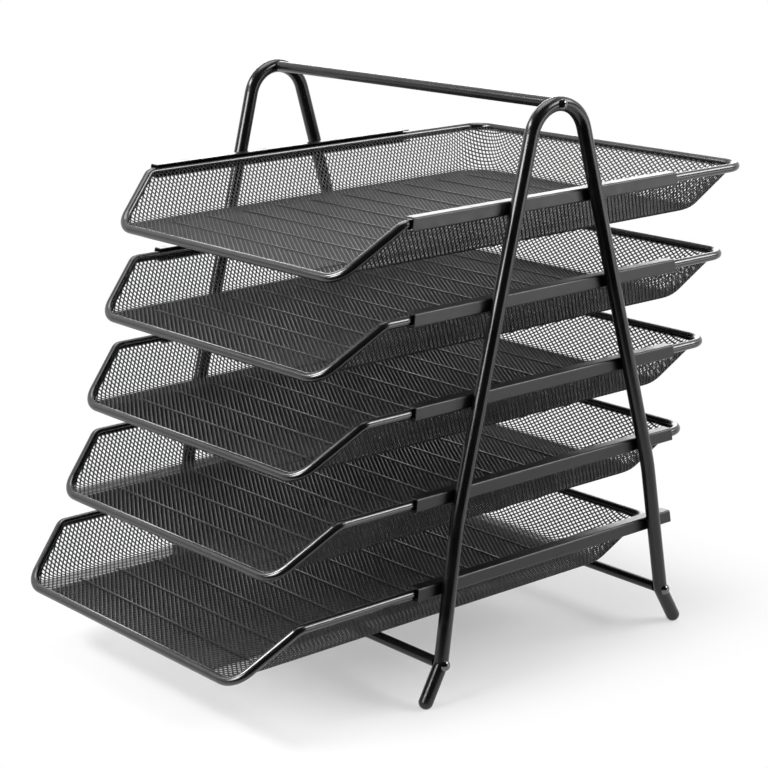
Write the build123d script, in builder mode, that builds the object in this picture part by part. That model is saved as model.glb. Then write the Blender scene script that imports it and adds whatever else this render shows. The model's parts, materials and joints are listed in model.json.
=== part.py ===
from build123d import *
import os
from math import atan, cos, degrees, hypot, radians, sin, tan

# Five-tier desk organizer: two bent-tube side frames carry C-section rails,
# and five wire-rimmed mesh trays slide in the rails like drawers.
# X runs to the right, Y to the rear and Z up from the desk, in millimetres and degrees.

# Side frames: one bent tube on each side
stand_width = 302.6  # over the two tubes
stand_height = 380.5
tube_diameter = 9.5
tube_wall = 1.0
arch_radius = 23.8  # bends are measured on the centre line
upper_splay = 15.1  # leg angles are measured from the vertical
knee_height = 122.2
knee_radius = 150.0
lower_splay = 9.1
kink_height = 26.9
kink_radius = 12.0
foot_splay = 30.0

# Foot caps: domed plugs in the tube ends
cap_collar = 3.0
cap_flat = 0.5  # how much of the dome is flattened where it stands
cap_spigot = 9.0
cap_clearance = 0.05

# Bars between the side frames, and the screws that hold them
bar_diameter = 7.2
screw_diameter = 4.0
screw_head_diameter = 7.4
screw_head_height = 2.4
screw_thread = 10.0  # length of screw in the bar
screw_tip_room = 2.0
screw_clearance = 0.1  # in the tube, on the radius
thread_clearance = 0.05  # in the bar, on the radius

# Rails: folded channels, open towards the trays, spaced evenly up the stand
lowest_rail = 70.9  # underside of the bottom rail
hand_room = 71.6  # from the underside of the top rail to the top of the stand
rail_length = 233.5
rail_sheet = 0.8
rail_bend = 1.4  # outside radius of the fold
rail_end_rake = 9.5  # the ends lean, so a rail is shorter on top

# Tray rims: round wire, bent in three dimensions
rim_diameter = 6.0
rim_lift = 0.3  # running gap above the lower flange
rim_top_play = 1.1  # below the upper flange
rim_side_play = 1.5
rim_straight = 310.4  # from the shoulder to the rear bar
shoulder_gap = 3.25  # shoulder corner ahead of the rail's end
shoulder_radius = 8.0
front_run = 38.0
tray_drop = 31.0
wall_spread = 18.0  # how far a wall leans out over the drop
front_corner_radius = 18.0
rear_corner_radius = 16.0

# Baskets: pressed pans of mesh sheet inside the rims
basket_sheet = 0.8
basket_inset = 1.5  # outside of the sheet to the middle of the wire
basket_clearance = 0.95  # from the edge of the lower flange to the basket's wall
floor_bend = 10.5  # bends and corners are measured on the surface through the wire's middle
floor_corner_extra = 16  # how much rounder the floor's corners are than its bend
rib_pitch = 30.0
rib_front_gap = 28.0
rib_end_gap = 17.5
rib_width = 3.6
rib_crest = 1.6
rib_height = 1.1
rib_taper_length = 8.0
mesh_columns = 12  # openings across a tray, far coarser than the real mesh
mesh_bar = 5.0  # width left solid between openings and beside ribs, bends and wires

# How far each tray is pulled out at rest, from the top tray down
pulls = (0.0, 16.4, 34.1, 54.9, 87.0)

# Radii and places that follow from the sizes above
tube_radius = tube_diameter / 2
bore_radius = tube_radius - tube_wall
rim_radius = rim_diameter / 2
tube_x = stand_width / 2 - tube_radius
rail_x = tube_x - tube_radius
rim_x = rail_x - rail_sheet - rim_side_play - rim_radius
rim_above_rail = rail_sheet + rim_lift + rim_radius
rail_height = rim_above_rail + rim_radius + rim_top_play + rail_sheet

shoulder_y = -rail_length / 2 - shoulder_gap
rear_y = shoulder_y + rim_straight
lip_y = shoulder_y - front_run
lip_x = rim_x - wall_spread

# The stand's middle, placed so that the organizer at rest is centred on the origin
stand_y = (max(pulls) + min(pulls) - lip_y - rear_y) / 2

tiers = len(pulls)
tier_pitch = (stand_height - hand_room - lowest_rail) / (tiers - 1)
rail_levels = [lowest_rail + tier_pitch * (tiers - 1 - tier) for tier in range(tiers)]
sides = {"left": -1, "right": 1}
ends = {"front": -1, "rear": 1}

# Lean of the trays' walls from the vertical
wall_lean = atan(wall_spread / tray_drop)

os.makedirs("parts", exist_ok=True)


def wall_inset(inset, depth):
    """Level distance from the wire's middle to a wall that lies inside it by an inset, at a depth below the wire."""
    return inset / cos(wall_lean) + depth * tan(wall_lean)


def save(builder, name):
    """Label a finished piece and write it under its own name."""
    builder.part.label = name
    export_step(builder.part, f"parts/{name}.step")


# Corners of the tube's centre line, seen from the side, for one leg
apex_height = stand_height - tube_radius
peak_height = apex_height - arch_radius + arch_radius / sin(radians(upper_splay))
knee_reach = (peak_height - knee_height) * tan(radians(upper_splay))
kink_reach = knee_reach + (knee_height - kink_height) * tan(radians(lower_splay))
dome_height = tube_radius - cap_flat
dome_reach = kink_reach + (kink_height - dome_height) * tan(radians(foot_splay))
tube_end_reach = dome_reach - cap_collar * sin(radians(foot_splay))
tube_end_height = dome_height + cap_collar * cos(radians(foot_splay))
leg_corners = [
    (tube_end_reach, tube_end_height),
    (kink_reach, kink_height),
    (knee_reach, knee_height),
]

# Where the screws cross the tube: the crown of the arch and the middle of each kink
kink_turn = foot_splay - lower_splay
kink_cut = kink_radius / cos(radians(kink_turn / 2)) - kink_radius
kink_lean = radians((foot_splay + lower_splay) / 2)
screw_reach = kink_reach + kink_cut * cos(kink_lean)
screw_height = kink_height + kink_cut * sin(kink_lean)
handle_place = (stand_y, apex_height)
cross_bar_places = {end: (stand_y + sign * screw_reach, screw_height) for end, sign in ends.items()}
screw_places = [handle_place, *cross_bar_places.values()]

# Side frames
for side, sign in sides.items():
    tube_plane = Plane.YZ.offset(sign * tube_x)
    with BuildPart() as side_frame:
        with BuildLine(tube_plane) as centre_line:
            FilletPolyline(
                *[(stand_y - reach, height) for reach, height in leg_corners],
                (stand_y, peak_height),
                *[(stand_y + reach, height) for reach, height in reversed(leg_corners)],
                radius=[kink_radius, knee_radius, arch_radius, knee_radius, kink_radius],
            )
        with BuildSketch(Plane(centre_line.line @ 0, z_dir=centre_line.line % 0)):
            Circle(tube_radius)
            Circle(bore_radius, mode=Mode.SUBTRACT)
        sweep()
        with BuildSketch(tube_plane):
            with Locations(*screw_places):
                Circle(screw_diameter / 2 + screw_clearance)
        extrude(amount=tube_radius, both=True, mode=Mode.SUBTRACT)
    save(side_frame, f"{side}_side_frame")

# Foot caps, turned about the foot's own axis and flattened on the desk
for side, sign in sides.items():
    for end, way in ends.items():
        foot_axis = Vector(0, way * sin(radians(foot_splay)), -cos(radians(foot_splay)))
        dome_centre = Vector(sign * tube_x, stand_y + way * dome_reach, dome_height)
        with BuildPart() as foot_cap:
            with BuildSketch(Plane(dome_centre, x_dir=(1, 0, 0), z_dir=Vector(1, 0, 0).cross(foot_axis))):
                with BuildLine():
                    spigot_radius = bore_radius - cap_clearance
                    Line((0, tube_radius), (0, -cap_collar - cap_spigot))
                    Polyline(
                        (0, -cap_collar - cap_spigot),
                        (spigot_radius, -cap_collar - cap_spigot),
                        (spigot_radius, -cap_collar),
                        (tube_radius, -cap_collar),
                        (tube_radius, 0),
                    )
                    CenterArc((0, 0), tube_radius, 0, 90)
                make_face()
            revolve(axis=Axis(dome_centre, foot_axis))
            split(bisect_by=Plane.XY, keep=Keep.TOP)
        save(foot_cap, f"{end}_{side}_foot_cap")

# Handle bar and cross bars, tapped at both ends
bar_places = {"handle_bar": handle_place}
bar_places.update({f"{end}_cross_bar": place for end, place in cross_bar_places.items()})
for name, place in bar_places.items():
    with BuildPart() as bar:
        with BuildSketch(Plane.YZ):
            with Locations(place):
                Circle(bar_diameter / 2)
        extrude(amount=rail_x, both=True)
        for sign in sides.values():
            with BuildSketch(Plane.YZ.offset(sign * rail_x)):
                with Locations(place):
                    Circle(screw_diameter / 2 + thread_clearance)
            extrude(amount=-sign * (screw_thread + screw_tip_room), mode=Mode.SUBTRACT)
    save(bar, name)

# Screws: a domed head on the tube's outside and a shank through the tube into the bar
head_x = tube_x + tube_radius
head_radius = screw_head_diameter / 2
for name, places in {"handle_screws": [handle_place], "cross_bar_screws": cross_bar_places.values()}.items():
    with BuildPart() as screws:
        for y, z in places:
            with BuildSketch(Plane((0, y, z), x_dir=(1, 0, 0), z_dir=(0, -1, 0))):
                with BuildLine():
                    Polyline(
                        (head_x + screw_head_height, 0),
                        (rail_x - screw_thread, 0),
                        (rail_x - screw_thread, screw_diameter / 2),
                        (head_x, screw_diameter / 2),
                        (head_x, head_radius),
                    )
                    TangentArc(
                        (head_x + screw_head_height, 0),
                        (head_x, head_radius),
                        tangent=(0, 1),
                    )
                make_face()
            revolve(axis=Axis((0, y, z), (1, 0, 0)))
        mirror(about=Plane.YZ)
    save(screws, name)

# Rails, folded from sheet and cut with leaning ends
for side, sign in sides.items():
    web_x = rail_x - rail_sheet / 2
    edge_x = rim_x - wall_inset(basket_inset, rim_radius + rim_lift) + basket_clearance
    for number, level in enumerate(rail_levels, start=1):
        low = level + rail_sheet / 2
        high = level + rail_height - rail_sheet / 2
        with BuildPart() as rail:
            with BuildSketch(Plane((0, stand_y, 0), x_dir=(1, 0, 0), z_dir=(0, -1, 0))):
                with BuildLine():
                    FilletPolyline(
                        (sign * edge_x, low),
                        (sign * web_x, low),
                        (sign * web_x, high),
                        (sign * edge_x, high),
                        radius=rail_bend - rail_sheet / 2,
                    )
                trace(line_width=rail_sheet)
            extrude(amount=rail_length / 2, both=True)
            with BuildSketch(Plane.YZ):
                with Locations((stand_y, level)):
                    Trapezoid(rail_length, rail_height, 90 - rail_end_rake, align=(Align.CENTER, Align.MIN))
            extrude(amount=sign * rail_x, mode=Mode.INTERSECT)
        save(rail, f"{side}_rail_{number}")

# Tray rim, made once with the wire's side runs at height 0: one half is swept, then mirrored
with BuildPart() as rim:
    with BuildLine() as wire:
        FilletPolyline(
            (0, rear_y, 0),
            (rim_x, rear_y, 0),
            (rim_x, shoulder_y, 0),
            (lip_x, lip_y, -tray_drop),
            (0, lip_y, -tray_drop),
            radius=[rear_corner_radius, shoulder_radius, front_corner_radius],
        )
    with BuildSketch(Plane(wire.line @ 0, z_dir=wire.line % 0)):
        Circle(rim_radius)
    sweep()
    mirror(about=Plane.YZ)

# Tray basket, made once to fit the rim: a tapered pan, ribbed and cut open at the front.
# The wire's middle runs on the walls of a sharp-edged tray. The pan lies inside that tray, its outside
# by the inset and its inside by a sheet more, both measured square to the walls and floor.
blank_front = lip_y - front_run


def pan_block(inset):
    """Solid block that fills the tray up to a surface at an inset from the wire's middle."""
    pan_depth = tray_drop - inset
    with BuildPart() as block:
        for depth, corner_radius in ((pan_depth, floor_bend + floor_corner_extra), (0, rear_corner_radius)):
            block_rear = rear_y - wall_inset(inset, depth)
            with BuildSketch(Plane.XY.offset(-depth)):
                with Locations((0, block_rear)):
                    RectangleRounded(
                        2 * (rim_x - wall_inset(inset, depth)),
                        block_rear - blank_front,
                        corner_radius - wall_inset(inset, 0),
                        align=(Align.CENTER, Align.MAX),
                    )
        loft(ruled=True)
        fillet(block.faces().sort_by(Axis.Z)[0].edges(), floor_bend - inset)
    return block.part


pan_outside = pan_block(basket_inset)
pan_inside = pan_block(basket_inset + basket_sheet)
pan_depth = tray_drop - basket_inset
floor_inset = wall_inset(basket_inset, pan_depth)

with BuildPart() as basket:
    add(pan_outside)
    add(pan_inside, mode=Mode.SUBTRACT)

    # Ribs pressed up from the floor, hollow beneath, as many as the floor holds
    floor_x = rim_x - floor_inset
    first_rib = lip_y + rib_front_gap
    rib_room = rear_y - floor_inset - floor_bend - first_rib
    rib_count = int(rib_room // rib_pitch) + 1
    rib_slope = degrees(atan((rib_width - rib_crest) / 2 / rib_height))
    for height, trim, mode in (
        (-pan_depth + basket_sheet, 0, Mode.ADD),
        (-pan_depth, basket_sheet, Mode.SUBTRACT),
    ):
        half_length = floor_x - rib_end_gap - trim / 2
        half_width = (rib_width - trim) / 2
        with BuildSketch(Plane.XY.offset(height)):
            with Locations(*[(0, first_rib + rib_pitch * step) for step in range(rib_count)]):
                Polygon(
                    (-half_length, 0),
                    (-half_length + rib_taper_length, -half_width),
                    (half_length - rib_taper_length, -half_width),
                    (half_length, 0),
                    (half_length - rib_taper_length, half_width),
                    (-half_length + rib_taper_length, half_width),
                )
        extrude(amount=rib_height, taper=rib_slope, mode=mode)

    # Mesh, as a plain grid of openings: rows between the ribs, columns across the flat of the floor.
    # A row with less room than a bar stays solid.
    bend_reach = floor_bend * tan((radians(90) - wall_lean) / 2)
    mesh_pitch = 2 * (floor_x - bend_reach) / mesh_columns
    mesh_width = mesh_pitch - mesh_bar
    rib_clear = (rib_width + mesh_bar) / 2
    rib_rows = [first_rib + rib_pitch * step for step in range(rib_count)]
    row_starts = [lip_y + rim_radius + mesh_bar] + [row + rib_clear for row in rib_rows]
    row_ends = [row - rib_clear for row in rib_rows] + [rear_y - floor_inset - bend_reach - mesh_bar / 2]
    floor_rows = [(start, end) for start, end in zip(row_starts, row_ends) if end - start > mesh_bar]
    with BuildSketch(Plane.XY.offset(-tray_drop)):
        for start, end in floor_rows:
            with Locations((0, (start + end) / 2)):
                with GridLocations(mesh_pitch, 0, mesh_columns, 1):
                    Rectangle(mesh_width, end - start)
    extrude(amount=floor_bend, mode=Mode.SUBTRACT)

    # The same rows go on up the side walls behind the slanting front, and the columns up the rear wall
    mesh_low = -tray_drop + floor_bend * (1 - sin(wall_lean)) + mesh_bar / 2
    mesh_high = -rim_radius - mesh_bar
    mesh_middle = (mesh_low + mesh_high) / 2
    mesh_height = mesh_high - mesh_low
    slant_length = hypot(front_run, tray_drop)
    slant_clear = (front_run * (tray_drop + mesh_high) + slant_length * (rim_radius + mesh_bar)) / tray_drop
    wall_rows = [(max(start, lip_y + slant_clear), end) for start, end in floor_rows]
    with BuildSketch(Plane.YZ):
        for start, end in wall_rows:
            if end - start > mesh_bar:
                with Locations(((start + end) / 2, mesh_middle)):
                    Rectangle(end - start, mesh_height)
    extrude(amount=rim_x, both=True, mode=Mode.SUBTRACT)
    with BuildSketch(Plane.XZ):
        with Locations((0, mesh_middle)):
            with GridLocations(mesh_pitch, 0, mesh_columns, 1):
                Rectangle(mesh_width, mesh_height)
    extrude(amount=-rear_y, mode=Mode.SUBTRACT)

    # The front opens along the plane of the lip and the slanting wires
    front_plane = Plane((0, lip_y, -tray_drop), x_dir=(1, 0, 0), z_dir=(0, -tray_drop, front_run))
    split(bisect_by=front_plane, keep=Keep.BOTTOM)
    add(rim.part, mode=Mode.SUBTRACT)

# Trays: a rim and a basket for each tier, at its level and pull
for number, (level, pull) in enumerate(zip(rail_levels, pulls), start=1):
    tray_place = Location((0, stand_y - pull, level + rim_above_rail))
    with BuildPart() as tray_rim:
        with Locations(tray_place):
            add(rim.part)
    save(tray_rim, f"tray_{number}_rim")
    with BuildPart() as tray_basket:
        with Locations(tray_place):
            add(basket.part)
    save(tray_basket, f"tray_{number}_basket")
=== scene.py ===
# %% [markdown]
# A desk organizer with sliding mesh trays
# The real object is black painted steel: two bent-tube side frames, folded rails across them, and trays
# whose pans are expanded metal held in a round wire rim. The solids already have the right size and place,
# so this lesson loads them as a fixed frame, keeps those whose shape is right, and weaves the one thing
# that solids leave out, which is the mesh itself.

# %% Load the frame
import json
import math

import bpy
import numpy as np
from mathutils import Matrix, Quaternion, Vector

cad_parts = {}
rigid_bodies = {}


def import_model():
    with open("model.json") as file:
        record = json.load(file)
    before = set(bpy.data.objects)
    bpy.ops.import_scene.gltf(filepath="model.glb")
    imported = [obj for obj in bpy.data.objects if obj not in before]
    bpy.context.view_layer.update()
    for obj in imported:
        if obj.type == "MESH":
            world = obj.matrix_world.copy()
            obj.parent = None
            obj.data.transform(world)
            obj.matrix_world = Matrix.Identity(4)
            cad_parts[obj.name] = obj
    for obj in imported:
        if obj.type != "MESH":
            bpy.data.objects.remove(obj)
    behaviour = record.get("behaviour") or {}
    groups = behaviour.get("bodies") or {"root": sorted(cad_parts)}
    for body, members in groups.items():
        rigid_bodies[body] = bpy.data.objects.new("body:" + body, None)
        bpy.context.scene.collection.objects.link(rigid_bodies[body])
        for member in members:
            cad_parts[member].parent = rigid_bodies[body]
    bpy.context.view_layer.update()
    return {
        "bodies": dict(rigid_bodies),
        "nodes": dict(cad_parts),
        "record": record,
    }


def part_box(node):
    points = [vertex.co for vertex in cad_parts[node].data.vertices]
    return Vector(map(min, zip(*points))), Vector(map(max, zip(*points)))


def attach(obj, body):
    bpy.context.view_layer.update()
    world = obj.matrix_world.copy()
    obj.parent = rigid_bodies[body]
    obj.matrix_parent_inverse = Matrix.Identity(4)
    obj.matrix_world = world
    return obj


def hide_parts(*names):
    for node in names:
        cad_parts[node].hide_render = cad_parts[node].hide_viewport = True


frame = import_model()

# %% [markdown]
# Where a tray is
# Every tray is the same shape at another height and pull, so one tray's sizes are read from the box of its
# wire rim. The box gives the middle line of the wire once the wire's own radius is taken off. What a box
# can't tell, such as how far the front slants, is named here in metres, as on the solid.

# %% Read the tray's sizes from its rim
WIRE_RADIUS = 0.003
FRONT_RUN = 0.038
WALL_SPREAD = 0.018
REAR_CORNER = 0.016
FLOOR_BEND = 0.0105
FLOOR_CORNER = 0.0265
SHEET_INSET = 0.0019
TRAY_COUNT = len([body for body in frame["bodies"] if body.startswith("tray_")])

rim_low, rim_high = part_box("tray_1_rim")
SIDE_X = rim_high.x - WIRE_RADIUS
REAR_Y = rim_high.y - WIRE_RADIUS
LIP_Y = rim_low.y + WIRE_RADIUS
WIRE_Z = rim_high.z - WIRE_RADIUS
LIP_Z = rim_low.z + WIRE_RADIUS
DROP = WIRE_Z - LIP_Z
print(f"tray: half width {SIDE_X:.4f}, lip {LIP_Y:.4f}, rear {REAR_Y:.4f}, drop {DROP:.4f}")


def tray_shift(number):
    """How far a tray lies from the first one: the step between the low corners of their rims."""
    low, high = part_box(f"tray_{number}_rim")
    return np.array(low - rim_low)


# %% [markdown]
# The sheet of a pan
# A pan is pressed from one flat sheet: a floor, a bend all round it, and walls that lean outward up to the
# wire. Its lengths follow from the rim, because the sheet lies just inside the wire everywhere. The floor's
# corners are rounder than the rim's, so on the way up a corner turns from all round to partly straight.

# %% Work out the sheet's lengths
MESH_EDGE = 0.001
lean = math.atan(WALL_SPREAD / DROP)
bend_angle = math.pi / 2 - lean
bend_radius = FLOOR_BEND - SHEET_INSET
bend_run = bend_radius * bend_angle
bend_rise = bend_radius * (1 - math.cos(bend_angle))
top_inset = SHEET_INSET / math.cos(lean)
floor_depth = DROP - SHEET_INSET
floor_half = SIDE_X - top_inset - floor_depth * math.tan(lean)
floor_rear = REAR_Y - top_inset - floor_depth * math.tan(lean)
corner_floor = FLOOR_CORNER - top_inset
corner_top = REAR_CORNER - top_inset
corner_shift = math.tan(lean) - (corner_top - corner_floor) / floor_depth
centre_x = floor_half - corner_floor
centre_y = floor_rear - corner_floor
flat_run = corner_floor - bend_radius * math.tan(bend_angle / 2)
sheet_run = flat_run + bend_run + (floor_depth + MESH_EDGE - bend_rise) / math.cos(lean)
print(f"sheet: walls lean {math.degrees(lean):.1f} degrees, corners reach {sheet_run:.4f} from their centre")

# %% [markdown]
# The pan as a folded sheet
# The net can be drawn flat, with p to the right and q to the rear, and then folded: inside the floor nothing
# happens, and past the floor's edge the distance r to that edge runs round the bend and up the sloping wall.
# At the rear corners r is measured from the corner's centre and the angle round it is spread over the rounded
# corner, so the net bunches up there as pressed mesh does.

# %% Fold a flat sheet into the pan
TINY = 1e-9


def fold(p, q):
    """Points and inward normals of the pan for flat coordinates p and q.

    The distance r past the floor's edge is split into a flat part, a turn round the bend and a run up
    the wall. The turn angle gives the sheet's direction, so its cosine and sine are the steps outward
    and upward. At a corner the angle about the centre sets the place along the corner's straight and
    round stretches.
    """
    across = np.maximum(np.abs(p) - centre_x, 0)
    behind = np.maximum(q - centre_y, 0)
    r = np.minimum(np.hypot(across, behind), sheet_run)
    turn = np.clip((r - flat_run) / bend_radius, 0, bend_angle)
    climb = np.maximum(r - flat_run - bend_run, 0)
    out = np.minimum(r, flat_run) + bend_radius * np.sin(turn) + climb * math.sin(lean)
    up = bend_radius * (1 - np.cos(turn)) + climb * math.cos(lean)

    straight = corner_shift * up
    rounding = out - straight
    share = np.arctan2(behind, across) / (math.pi / 2)
    along = share * (2 * straight + rounding * math.pi / 2)
    theta = np.clip((along - straight) / np.maximum(rounding, TINY), 0, math.pi / 2)
    past_round = np.maximum(along - straight - rounding * math.pi / 2, 0)

    side = np.sign(p)
    x = side * (np.minimum(np.abs(p), centre_x) + straight + rounding * np.cos(theta) - past_round)
    y = np.minimum(q, centre_y) + np.minimum(along, straight) + rounding * np.sin(theta)
    on_floor = r <= 0
    x = np.where(on_floor, p, x)
    y = np.where(on_floor, q, y)
    points = np.stack([x, y, LIP_Z + SHEET_INSET + up], axis=-1)
    normals = np.stack([
        -np.sin(turn) * side * np.cos(theta),
        -np.sin(turn) * np.sin(theta),
        np.cos(turn),
    ], axis=-1)
    return points, normals


wall_top, _ = fold(np.array([centre_x + sheet_run]), np.array([0.0]))
print("top of the right wall:", wall_top.round(4).tolist())

# %% [markdown]
# The mesh
# Expanded metal is a sheet that was slit and pulled open, so it is a net of diamonds in staggered rows. Rows
# of the net are numbered by whole numbers i and j in half steps: holes where i + j is even, and the knots
# between them where it is odd. A whole number of rows lies between two ribs. The sheet is cut off along the
# slanting plane of the tray's open front, so what stands beyond it slides back into that plane.

# %% Find the holes of the net
RIB_PITCH = 0.030
RIB_FRONT_GAP = 0.028
HALF_ROWS_PER_RIB = 18
LONG_WAY = 0.00525
SHORT_WAY = 2 * RIB_PITCH / HALF_ROWS_PER_RIB
SPARE_ROWS = 4
first_rib = LIP_Y + RIB_FRONT_GAP
front_normal = np.array([0, -DROP, FRONT_RUN]) / math.hypot(DROP, FRONT_RUN)
COLUMNS = int(math.ceil((centre_x + sheet_run) / (LONG_WAY / 2))) + 1
ROW_LOW = int(math.floor((LIP_Y - first_rib) / (SHORT_WAY / 2))) - SPARE_ROWS
ROW_HIGH = int(math.ceil((centre_y + sheet_run - first_rib) / (SHORT_WAY / 2))) + 1


def front_distance(points):
    """How far points lie beyond the slanting plane of the tray's open front."""
    return (points - np.array([0, LIP_Y, LIP_Z])) @ front_normal


def flat_place(cells):
    """Flat coordinates of net places: half steps of the long way across and of the short way back."""
    return cells[..., 0] * LONG_WAY / 2, first_rib + cells[..., 1] * SHORT_WAY / 2


def place_net(p, q):
    """Fold net points, and slide what stands beyond the open front back into its plane."""
    points, normals = fold(p, q)
    beyond = np.maximum(front_distance(points) - MESH_EDGE, 0)
    points[..., 1] += beyond / -front_normal[1]
    return points, normals


def net_holes():
    """Holes that lie inside the sheet and behind the open front, and whether each is on a wall."""
    columns = np.arange(-COLUMNS, COLUMNS + 1)
    rows = np.arange(ROW_LOW, ROW_HIGH + 1)
    i, j = np.meshgrid(columns, rows, indexing="ij")
    staggered = np.stack([i, j], axis=-1)[(i + j) % 2 == 0]
    p, q = flat_place(staggered)
    reach = np.hypot(np.maximum(np.abs(p) - centre_x, 0), np.maximum(q - centre_y, 0))
    kept = (reach < sheet_run) & (front_distance(fold(p, q)[0]) < MESH_EDGE)
    return staggered[kept], reach[kept] > 0


holes, on_wall = net_holes()
print("holes in a tray's floor and walls:", np.count_nonzero(~on_wall), np.count_nonzero(on_wall))

# %% [markdown]
# The strands
# A picture of holes on a plain sheet would look flat from close by, so each strand is real: its section is a
# small diamond, with a ridge above and below on the line between two holes, and an edge round each hole. The
# strands of the floor stand taller than those of the walls, so that the floor looks closed from a low angle,
# as in the photograph. All of it is worked out as whole arrays.

# %% Draw the strands
STRAND_WIDTH = 0.00108
WALL_STRAND_HEIGHT = 0.0009
FLOOR_STRAND_HEIGHT = 0.0013
strand_angle = math.atan2(SHORT_WAY, LONG_WAY)
hole_long = LONG_WAY / 2 - STRAND_WIDTH / 2 / math.sin(strand_angle)
hole_short = SHORT_WAY / 2 - STRAND_WIDTH / 2 / math.cos(strand_angle)
AROUND = np.array([[1, 0], [0, 1], [-1, 0], [0, -1]])
ROW_SPAN = ROW_HIGH - ROW_LOW + 3


def net_surface(holes, strand_height):
    """Vertices and four-sided faces of the net round some holes, with strands of one height.

    A hole has four knots around it, to the right, rear, left and front. Between each pair of knots a face
    slopes from the upper ridge to the hole's edge and another from the lower ridge. Where no other hole
    shares a ridge, a narrow face closes the strand's outer side.
    """
    knots = holes[:, None, :] + AROUND
    keys = (knots[..., 0] + COLUMNS + 1) * ROW_SPAN + knots[..., 1] - ROW_LOW + 1
    unique_keys, first, index = np.unique(keys, return_index=True, return_inverse=True)
    corner = index.reshape(-1, 4)
    knot_points, knot_normals = place_net(*flat_place(knots.reshape(-1, 2)[first]))

    p, q = flat_place(holes)
    steps = AROUND * np.array([hole_long, hole_short])
    edge_points, _ = place_net(p[:, None] + steps[:, 0], q[:, None] + steps[:, 1])

    knot_count = len(unique_keys)
    lift = knot_normals * strand_height / 2
    vertices = np.concatenate([knot_points + lift, knot_points - lift, edge_points.reshape(-1, 3)])
    edge = 2 * knot_count + np.arange(len(holes) * 4).reshape(-1, 4)
    next_corner = np.roll(corner, -1, axis=1)
    next_edge = np.roll(edge, -1, axis=1)
    upper = np.stack([corner, next_corner, next_edge, edge], axis=-1)
    lower = np.stack([next_corner + knot_count, corner + knot_count, edge, next_edge], axis=-1)

    pairs = np.stack([corner, next_corner], axis=-1).reshape(-1, 2)
    ridge = np.sort(pairs, axis=1)
    _, ridge_index, ridge_count = np.unique(ridge, axis=0, return_inverse=True, return_counts=True)
    lone = pairs[ridge_count[ridge_index.reshape(-1)] == 1]
    a, b = lone[:, 0], lone[:, 1]
    rims = np.stack([a, a + knot_count, b + knot_count, b], axis=-1)
    return vertices, np.concatenate([upper.reshape(-1, 4), lower.reshape(-1, 4), rims])


floor_net = net_surface(holes[~on_wall], FLOOR_STRAND_HEIGHT)
wall_net = net_surface(holes[on_wall], WALL_STRAND_HEIGHT)
print("triangles in a tray's floor and walls:", 2 * len(floor_net[1]), 2 * len(wall_net[1]))

# %% [markdown]
# The ribs
# Ribs are pressed up across the floor to stiffen it. Where the press folds the mesh over, its strands close
# up into one solid ridge, so a rib is its own small bar: a section that is narrower above, carried along the
# rib and sinking to its pointed ends. Its steep front face mirrors the tray's dark floor and reads as a dark
# line.

# %% Carry a section along each rib
RIB_COUNT = 10
RIB_HALF_LENGTH = 0.100
RIB_TAPER = 0.008
RIB_END_SIZE = 0.2
RIB_BASE = 0.0018
RIB_CREST = 0.0005
RIB_RISE = 0.0014
RIB_SINK = 0.0004


def rib_bars():
    """Vertices and four-sided faces of all ribs in a tray.

    Four stations along a rib give its size, which is small at both ends. At each station the section goes
    up the front, over the crest and down the rear. Faces join the stations, and one more closes each end.
    """
    full_to = RIB_HALF_LENGTH - RIB_TAPER
    stations = np.array([-RIB_HALF_LENGTH, -full_to, full_to, RIB_HALF_LENGTH])
    size = np.array([RIB_END_SIZE, 1, 1, RIB_END_SIZE])
    across = np.array([-RIB_BASE, -RIB_CREST, RIB_CREST, RIB_BASE]) / 2
    above = np.array([-RIB_SINK, RIB_RISE, RIB_RISE, -RIB_SINK])
    rows = first_rib + RIB_PITCH * np.arange(RIB_COUNT)
    grid = np.empty((RIB_COUNT, len(stations), len(across), 3))
    grid[..., 0] = stations[:, None]
    grid[..., 1] = rows[:, None, None] + size[:, None] * across
    grid[..., 2] = LIP_Z + SHEET_INSET + size[:, None] * above
    number = np.arange(grid.size // 3).reshape(grid.shape[:3])
    here, ahead = number[:, :-1], number[:, 1:]
    sides = np.stack([here, ahead, np.roll(ahead, -1, axis=2), np.roll(here, -1, axis=2)], axis=-1)
    ends = [number[:, 0], number[:, -1, ::-1]]
    return grid.reshape(-1, 3), np.concatenate([sides.reshape(-1, 4), *ends])


ribs = rib_bars()
print("faces in a tray's ribs:", len(ribs[1]))

# %% [markdown]
# One pan for each tray
# All trays are alike, so the same net is set down five times. Floor, walls and ribs are three pieces, and all
# ride on the tray's body and stand in for the plain solid of its pan. The arrays go into a mesh in one call
# each, because adding tens of thousands of faces one by one would be slow.


# %% Set the net into every tray
def quad_piece(name, vertices, faces, smooth=True):
    """A new object, smooth or flat all over, from arrays of vertices and four-sided faces."""
    mesh = bpy.data.meshes.new(name)
    mesh.vertices.add(len(vertices))
    mesh.vertices.foreach_set("co", np.ascontiguousarray(vertices, dtype=np.float32).ravel())
    mesh.loops.add(4 * len(faces))
    mesh.loops.foreach_set("vertex_index", np.ascontiguousarray(faces, dtype=np.int32).ravel())
    mesh.polygons.add(len(faces))
    mesh.polygons.foreach_set("loop_start", np.arange(0, 4 * len(faces), 4, dtype=np.int32))
    mesh.polygons.foreach_set("use_smooth", np.full(len(faces), smooth))
    mesh.update(calc_edges=True)
    mesh.validate()
    piece = bpy.data.objects.new(name, mesh)
    bpy.context.scene.collection.objects.link(piece)
    return piece


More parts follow.
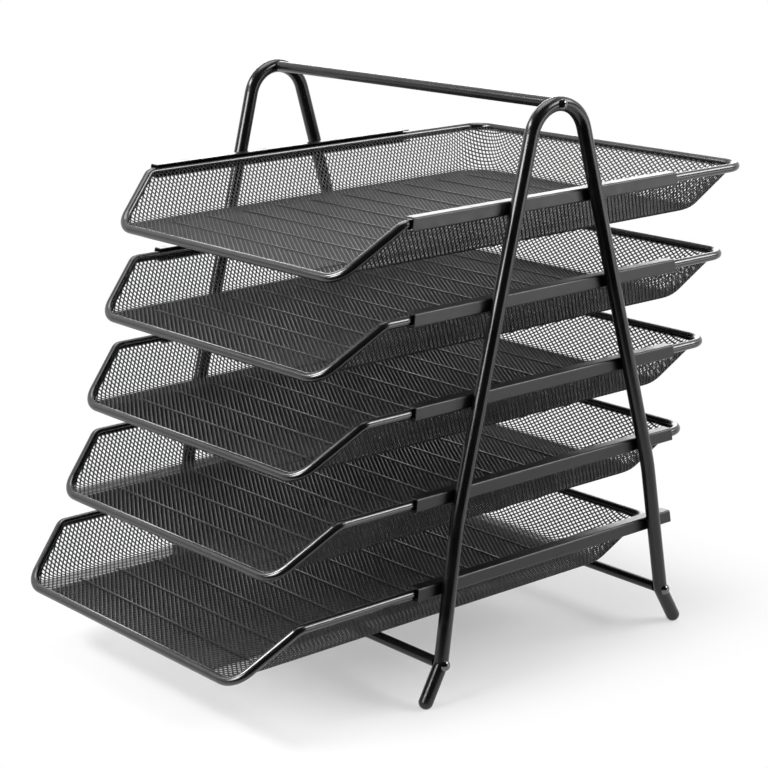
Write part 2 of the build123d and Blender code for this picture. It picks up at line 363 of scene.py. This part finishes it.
mesh_pieces = []
for number in range(1, TRAY_COUNT + 1):
    for part, (vertices, faces) in {"floor": floor_net, "walls": wall_net, "ribs": ribs}.items():
        placed = vertices + tray_shift(number)
        mesh_piece = quad_piece(f"tray_{number}_mesh_{part}", placed, faces, smooth=part != "ribs")
        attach(mesh_piece, f"tray_{number}")
        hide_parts(f"tray_{number}_basket")
        mesh_pieces.append(mesh_piece)
print("mesh pieces:", len(mesh_pieces))

# %% [markdown]
# Shader arithmetic
# A finish is a few patterns added and multiplied. Written as nodes that is hard to read, so this class
# wraps a socket and lets Python's own operators add the Math nodes. Its one method `node` adds any other.


# %% Wrap a socket in Python operators
class Signal:
    """A socket of a node tree: arithmetic on it adds Math nodes to that tree."""

    MIX_COLOUR_INPUTS = 6, 7
    MIX_COLOUR_OUTPUT = 2

    def __init__(self, tree, socket=None):
        self.tree = tree
        self.socket = socket

    def node(self, kind, settings=None, sockets=None, output=0):
        """Add a node of a type, make its settings, fill its sockets, and give one of its outputs."""
        made = self.tree.nodes.new("ShaderNode" + kind)
        for key, value in (settings or {}).items():
            setattr(made, key, value)
        for key, value in (sockets or {}).items():
            if isinstance(value, Signal):
                self.tree.links.new(value.socket, made.inputs[key])
            else:
                made.inputs[key].default_value = value
        return Signal(self.tree, made.outputs[output] if len(made.outputs) else None)

    def maths(self, operation, first, second):
        return self.node("Math", {"operation": operation}, {0: first, 1: second})

    def __add__(self, other):
        return self.maths("ADD", self, other)

    def __radd__(self, other):
        return self.maths("ADD", other, self)

    def __sub__(self, other):
        return self.maths("SUBTRACT", self, other)

    def __rsub__(self, other):
        return self.maths("SUBTRACT", other, self)

    def __mul__(self, other):
        return self.maths("MULTIPLY", self, other)

    def __rmul__(self, other):
        return self.maths("MULTIPLY", other, self)

    def clamped(self, low, high):
        return self.maths("MINIMUM", self.maths("MAXIMUM", self, low), high)

    def blended(self, first, second):
        """A colour between two, with this signal as the share of the second."""
        a, b = self.MIX_COLOUR_INPUTS
        sockets = {"Factor": self, a: (*first, 1), b: (*second, 1)}
        return self.node("Mix", {"data_type": "RGBA"}, sockets, self.MIX_COLOUR_OUTPUT)


def empty_tree(owner):
    """Start a material or a world afresh, and give a signal that can add nodes to it."""
    owner.use_nodes = True
    owner.node_tree.nodes.clear()
    return Signal(owner.node_tree)


print("operators of a signal:", len([name for name in vars(Signal) if name.startswith("__r")]), "reflected")

# %% [markdown]
# Black paint
# All the steel is sprayed with black enamel. Such paint isn't one flat black: the film is a little thinner
# and greyer in places, its gloss wanders, and close up it has the fine dimples of sprayed paint. Three
# noise patterns on Object coordinates give those, each at its own size, so the finish stays put on the
# piece when a tray slides. The wire of the rims and the blacked screws mirror more than the rest, which is
# their refractive index.

# %% Mix the paints
BLACK = (0.002, 0.002, 0.0022)
GREYER = (0.006, 0.006, 0.0064)
FILM_NOISE = {"Scale": 35.0, "Detail": 4.0, "Roughness": 0.6}
GLOSS_NOISE = {"Scale": 140.0, "Detail": 3.0, "Roughness": 0.55}
DIMPLE_DETAIL = 2.0
FILM_RANGE = {"From Min": 0.3, "From Max": 0.7}
SMOOTHEST, ROUGHEST = 0.05, 0.9


def enamel(name, rough, spread, dimple, depth, index=1.5):
    """Sprayed black enamel: grey drift in the colour, wandering gloss, and a dimpled surface.

    The roughness wanders about its middle, rough, by a share of spread. A dimple's size and depth are in
    metres, and index is the paint's refractive index.
    """
    material = bpy.data.materials.new(name)
    start = empty_tree(material)
    place = start.node("TexCoord", output="Object")
    drift = start.node("TexNoise", None, {"Vector": place, **FILM_NOISE})
    smudge = start.node("TexNoise", None, {"Vector": place, **GLOSS_NOISE})
    dimples = start.node("TexNoise", None, {"Vector": place, "Scale": 1 / dimple, "Detail": DIMPLE_DETAIL})
    colour = start.node("MapRange", None, {"Value": drift, **FILM_RANGE}).blended(BLACK, GREYER)
    roughness = rough + (smudge - 0.5) * spread + (drift - 0.5) * spread
    bump = start.node("Bump", None, {"Height": dimples, "Distance": depth, "Strength": 1.0})
    paint = {
        "Base Color": colour,
        "Roughness": roughness.clamped(SMOOTHEST, ROUGHEST),
        "Normal": bump,
        "IOR": index,
    }
    shader = start.node("BsdfPrincipled", None, paint)
    start.node("OutputMaterial", None, {"Surface": shader})
    return material


FINISHES = {
    "tube_paint": enamel("tube_enamel", rough=0.24, spread=0.10, dimple=0.0016, depth=2e-5),
    "rail_paint": enamel("rail_enamel", rough=0.34, spread=0.16, dimple=0.0012, depth=2e-5),
    "rim_paint": enamel("wire_enamel", rough=0.23, spread=0.10, dimple=0.0014, depth=2e-5, index=1.7),
    "mesh_paint": enamel("mesh_enamel", rough=0.36, spread=0.14, dimple=0.0010, depth=1e-5),
    "screw_finish": enamel("screw_blacking", rough=0.12, spread=0.04, dimple=0.0009, depth=4e-6, index=2.2),
    "cap_plastic": enamel("cap_plastic", rough=0.32, spread=0.10, dimple=0.0018, depth=2e-5),
}
print("finishes:", ", ".join(FINISHES))

# %% [markdown]
# Who wears which paint
# The record names a finish for every solid, so the solids are dressed from that list. The pieces of the net
# take the mesh's paint.


# %% Dress the solids and the net
def dress(piece, material):
    """Give a piece one material."""
    piece.data.materials.clear()
    piece.data.materials.append(material)


for entry in frame["record"]["subparts"]:
    dress(frame["nodes"][entry["node"]], FINISHES[entry["material_slot"]])
for mesh_piece in mesh_pieces:
    dress(mesh_piece, FINISHES["mesh_paint"])

# %% [markdown]
# The floor
# The picture is a product shot on white paper, with no edge between floor and backdrop. The paper is one
# large rectangle that lies square to the camera. It ends just in front of the picture, because the paint of
# the legs mirrors what lies there, and in the studio that was dark.

# %% Lay the floor
BACKDROP_SIDE = np.array([-0.770, 0.638, 0.0])
SIDEWAYS = np.array([0.638, 0.770, 0.0])
FRONT_EDGE = 0.30
FLOOR_DEPTH = 4.0
FLOOR_HALF_WIDTH = 3.0
reach = np.array([-FRONT_EDGE, -FRONT_EDGE, FLOOR_DEPTH, FLOOR_DEPTH])
spread = np.array([-1, 1, 1, -1]) * FLOOR_HALF_WIDTH
floor_corners = reach[:, None] * BACKDROP_SIDE + spread[:, None] * SIDEWAYS
floor = quad_piece("floor", floor_corners, np.array([[0, 1, 2, 3]]))
print("floor:", FLOOR_DEPTH + FRONT_EDGE, "by", 2 * FLOOR_HALF_WIDTH, "m")

# %% [markdown]
# White paper
# A pale matt floor under lamps would be an even white only by luck, so the paper glows at strength 1 for the
# camera and for mirrors, and fades to mostly matt paper near the feet, where it has to catch the shadow. The
# fade follows the distance from a rectangle under the organizer.

# %% Paint the floor
FOOTPRINT = (0.10, 0.16, 0.0)
SHADOW_FADE = 0.15
PAPER_GLOW = 0.4
PAPER_DARK = (0.80, 0.80, 0.80)
PAPER_PALE = (0.84, 0.84, 0.84)
MOTTLE_NOISE = {"Scale": 9.0, "Detail": 3.0}
WHITE = (1, 1, 1, 1)

floor_material = bpy.data.materials.new("floor_white")
ground = empty_tree(floor_material)
seen = ground.node("LightPath", output="Is Camera Ray")
seen = seen + ground.node("LightPath", output="Is Glossy Ray")
seen = (seen + ground.node("LightPath", output="Is Transmission Ray")).clamped(0, 1)
place = ground.node("TexCoord", output="Object")
mottle = ground.node("TexNoise", None, {"Vector": place, **MOTTLE_NOISE})
matt = ground.node("BsdfDiffuse", None, {"Color": mottle.blended(PAPER_DARK, PAPER_PALE)})
white = ground.node("Emission", None, {"Color": WHITE, "Strength": 1.0})
beyond = ground.node("VectorMath", {"operation": "ABSOLUTE"}, {0: place})
beyond = ground.node("VectorMath", {"operation": "SUBTRACT"}, {0: beyond, 1: FOOTPRINT})
beyond = ground.node("VectorMath", {"operation": "MAXIMUM"}, {0: beyond, 1: (0, 0, 0)})
distance = ground.node("VectorMath", {"operation": "LENGTH"}, {0: beyond}, output="Value")
fade = ground.node(
    "MapRange",
    {"interpolation_type": "SMOOTHSTEP"},
    {"Value": distance, "From Max": SHADOW_FADE, "To Min": PAPER_GLOW},
)
surface = ground.node("MixShader", None, {0: seen * fade, 1: matt, 2: white})
ground.node("OutputMaterial", None, {"Surface": surface})
dress(floor, floor_material)
print("paper: white from", SHADOW_FADE, "m outside", FOOTPRINT[:2])

# %% [markdown]
# The backdrop
# Black paint shows little but what it mirrors, so the room around matters more than its colour. The camera
# sees white. Mirrors see white towards the backdrop and a dark room behind the camera, with a soft step
# between the two. Everything else gets an even, low light.

# %% Set the backdrop
AMBIENT = 0.12
ROOM_DARK = 0.01
BACKDROP_STEP = {"From Min": -0.2, "From Max": 0.4}
world = bpy.data.worlds.new("backdrop")
bpy.context.scene.world = world
sky = empty_tree(world)
camera_ray = sky.node("LightPath", output="Is Camera Ray")
mirror_ray = sky.node("LightPath", output="Is Glossy Ray")
mirror_ray = mirror_ray + sky.node("LightPath", output="Is Transmission Ray")
direction = sky.node("TexCoord", output="Generated")
facing = sky.node(
    "VectorMath",
    {"operation": "DOT_PRODUCT"},
    {0: direction, 1: BACKDROP_SIDE},
    output="Value",
)
behind = sky.node("MapRange", None, {"Value": facing, **BACKDROP_STEP})
reflected = ROOM_DARK + behind * (1 - ROOM_DARK)
strength = camera_ray + (1 - camera_ray) * (mirror_ray * reflected + (1 - mirror_ray) * AMBIENT)
glow = sky.node("Background", None, {"Color": WHITE, "Strength": strength})
sky.node("OutputWorld", None, {"Surface": glow})
print("backdrop: even light", AMBIENT, "dark room", ROOM_DARK)

# %% [markdown]
# The lights
# Each lamp is there for a gleam that the photograph shows. The tall one in front draws the line down the
# front legs, the strip at the left lights the slanting wires of the lower trays, the high one behind at the
# right whitens the rails' top edges, and the others keep the floors of the trays and the right side readable.

# %% Hang the lights
LAMP_TARGET = Vector((0.0, 0.0, 0.2))
LAMPS = {
    "front_light": {"place": (-0.15, -1.9, 0.82), "width": 0.9, "height": 0.56, "watts": 32.0},
    "top_light": {"place": (-0.3, 0.2, 1.9), "width": 1.2, "height": 1.2, "watts": 18.0},
    "back_light": {"place": (-1.5, 1.3, 0.75), "width": 1.6, "height": 0.6, "watts": 14.0},
    "left_light": {"place": (-0.72, -1.2, 1.445), "width": 1.0, "height": 0.32, "watts": 26.0, "roll": 8.0},
    "high_light": {"place": (1.0, 1.07, 1.15), "width": 1.1, "height": 0.5, "watts": 20.0},
    "side_light": {"place": (1.2, 0.95, -0.05), "width": 0.8, "height": 0.8, "watts": 6.0},
}


def softbox(name, place, width, height, watts, roll=0.0):
    """A rectangular lamp that faces the organizer, rolled by some degrees and hidden from the camera."""
    lamp = bpy.data.lights.new(name, "AREA")
    lamp.shape = "RECTANGLE"
    lamp.size = width
    lamp.size_y = height
    lamp.energy = watts
    holder = bpy.data.objects.new(name, lamp)
    holder.location = place
    aim = (LAMP_TARGET - Vector(place)).to_track_quat("-Z", "Y")
    holder.rotation_euler = (aim @ Quaternion((0, 0, 1), math.radians(roll))).to_euler()
    holder.visible_camera = False
    bpy.context.scene.collection.objects.link(holder)


for name, lamp in LAMPS.items():
    softbox(name, **lamp)
print("lamps:", len(bpy.data.lights))

# %% [markdown]
# The camera
# The camera stands at the right front, a little above the trays. Its place, turns and lens were found by
# fitting the corners of the organizer to the photograph, so they are kept as plain numbers.

# %% Aim the camera
CAMERA_PLACE = (1.11294, -0.91727, 0.5615)
CAMERA_YAW = math.radians(-50.408)
CAMERA_PITCH = math.radians(15.203)
CAMERA_ROLL = math.radians(0.949)
FOCAL_PIXELS = 2151.0
FRAME_PIXELS = 768
SENSOR_WIDTH = 36.0

ahead = Vector((
    math.sin(CAMERA_YAW) * math.cos(CAMERA_PITCH),
    math.cos(CAMERA_YAW) * math.cos(CAMERA_PITCH),
    -math.sin(CAMERA_PITCH),
))
level_right = Vector((math.cos(CAMERA_YAW), -math.sin(CAMERA_YAW), 0))
level_down = ahead.cross(level_right)
right = level_right * math.cos(CAMERA_ROLL) + level_down * math.sin(CAMERA_ROLL)
down = level_down * math.cos(CAMERA_ROLL) - level_right * math.sin(CAMERA_ROLL)
lens = bpy.data.cameras.new("camera")
lens.sensor_width = SENSOR_WIDTH
lens.lens = SENSOR_WIDTH * FOCAL_PIXELS / FRAME_PIXELS
camera = bpy.data.objects.new("camera", lens)
turned = Matrix((right, -down, -ahead)).transposed().to_4x4()
camera.matrix_world = Matrix.Translation(CAMERA_PLACE) @ turned
bpy.context.scene.collection.objects.link(camera)
bpy.context.scene.camera = camera
bpy.context.scene.view_settings.view_transform = "Standard"
print(f"camera: lens {lens.lens:.1f} mm, {Vector(CAMERA_PLACE).length:.2f} m away")

# %% [markdown]
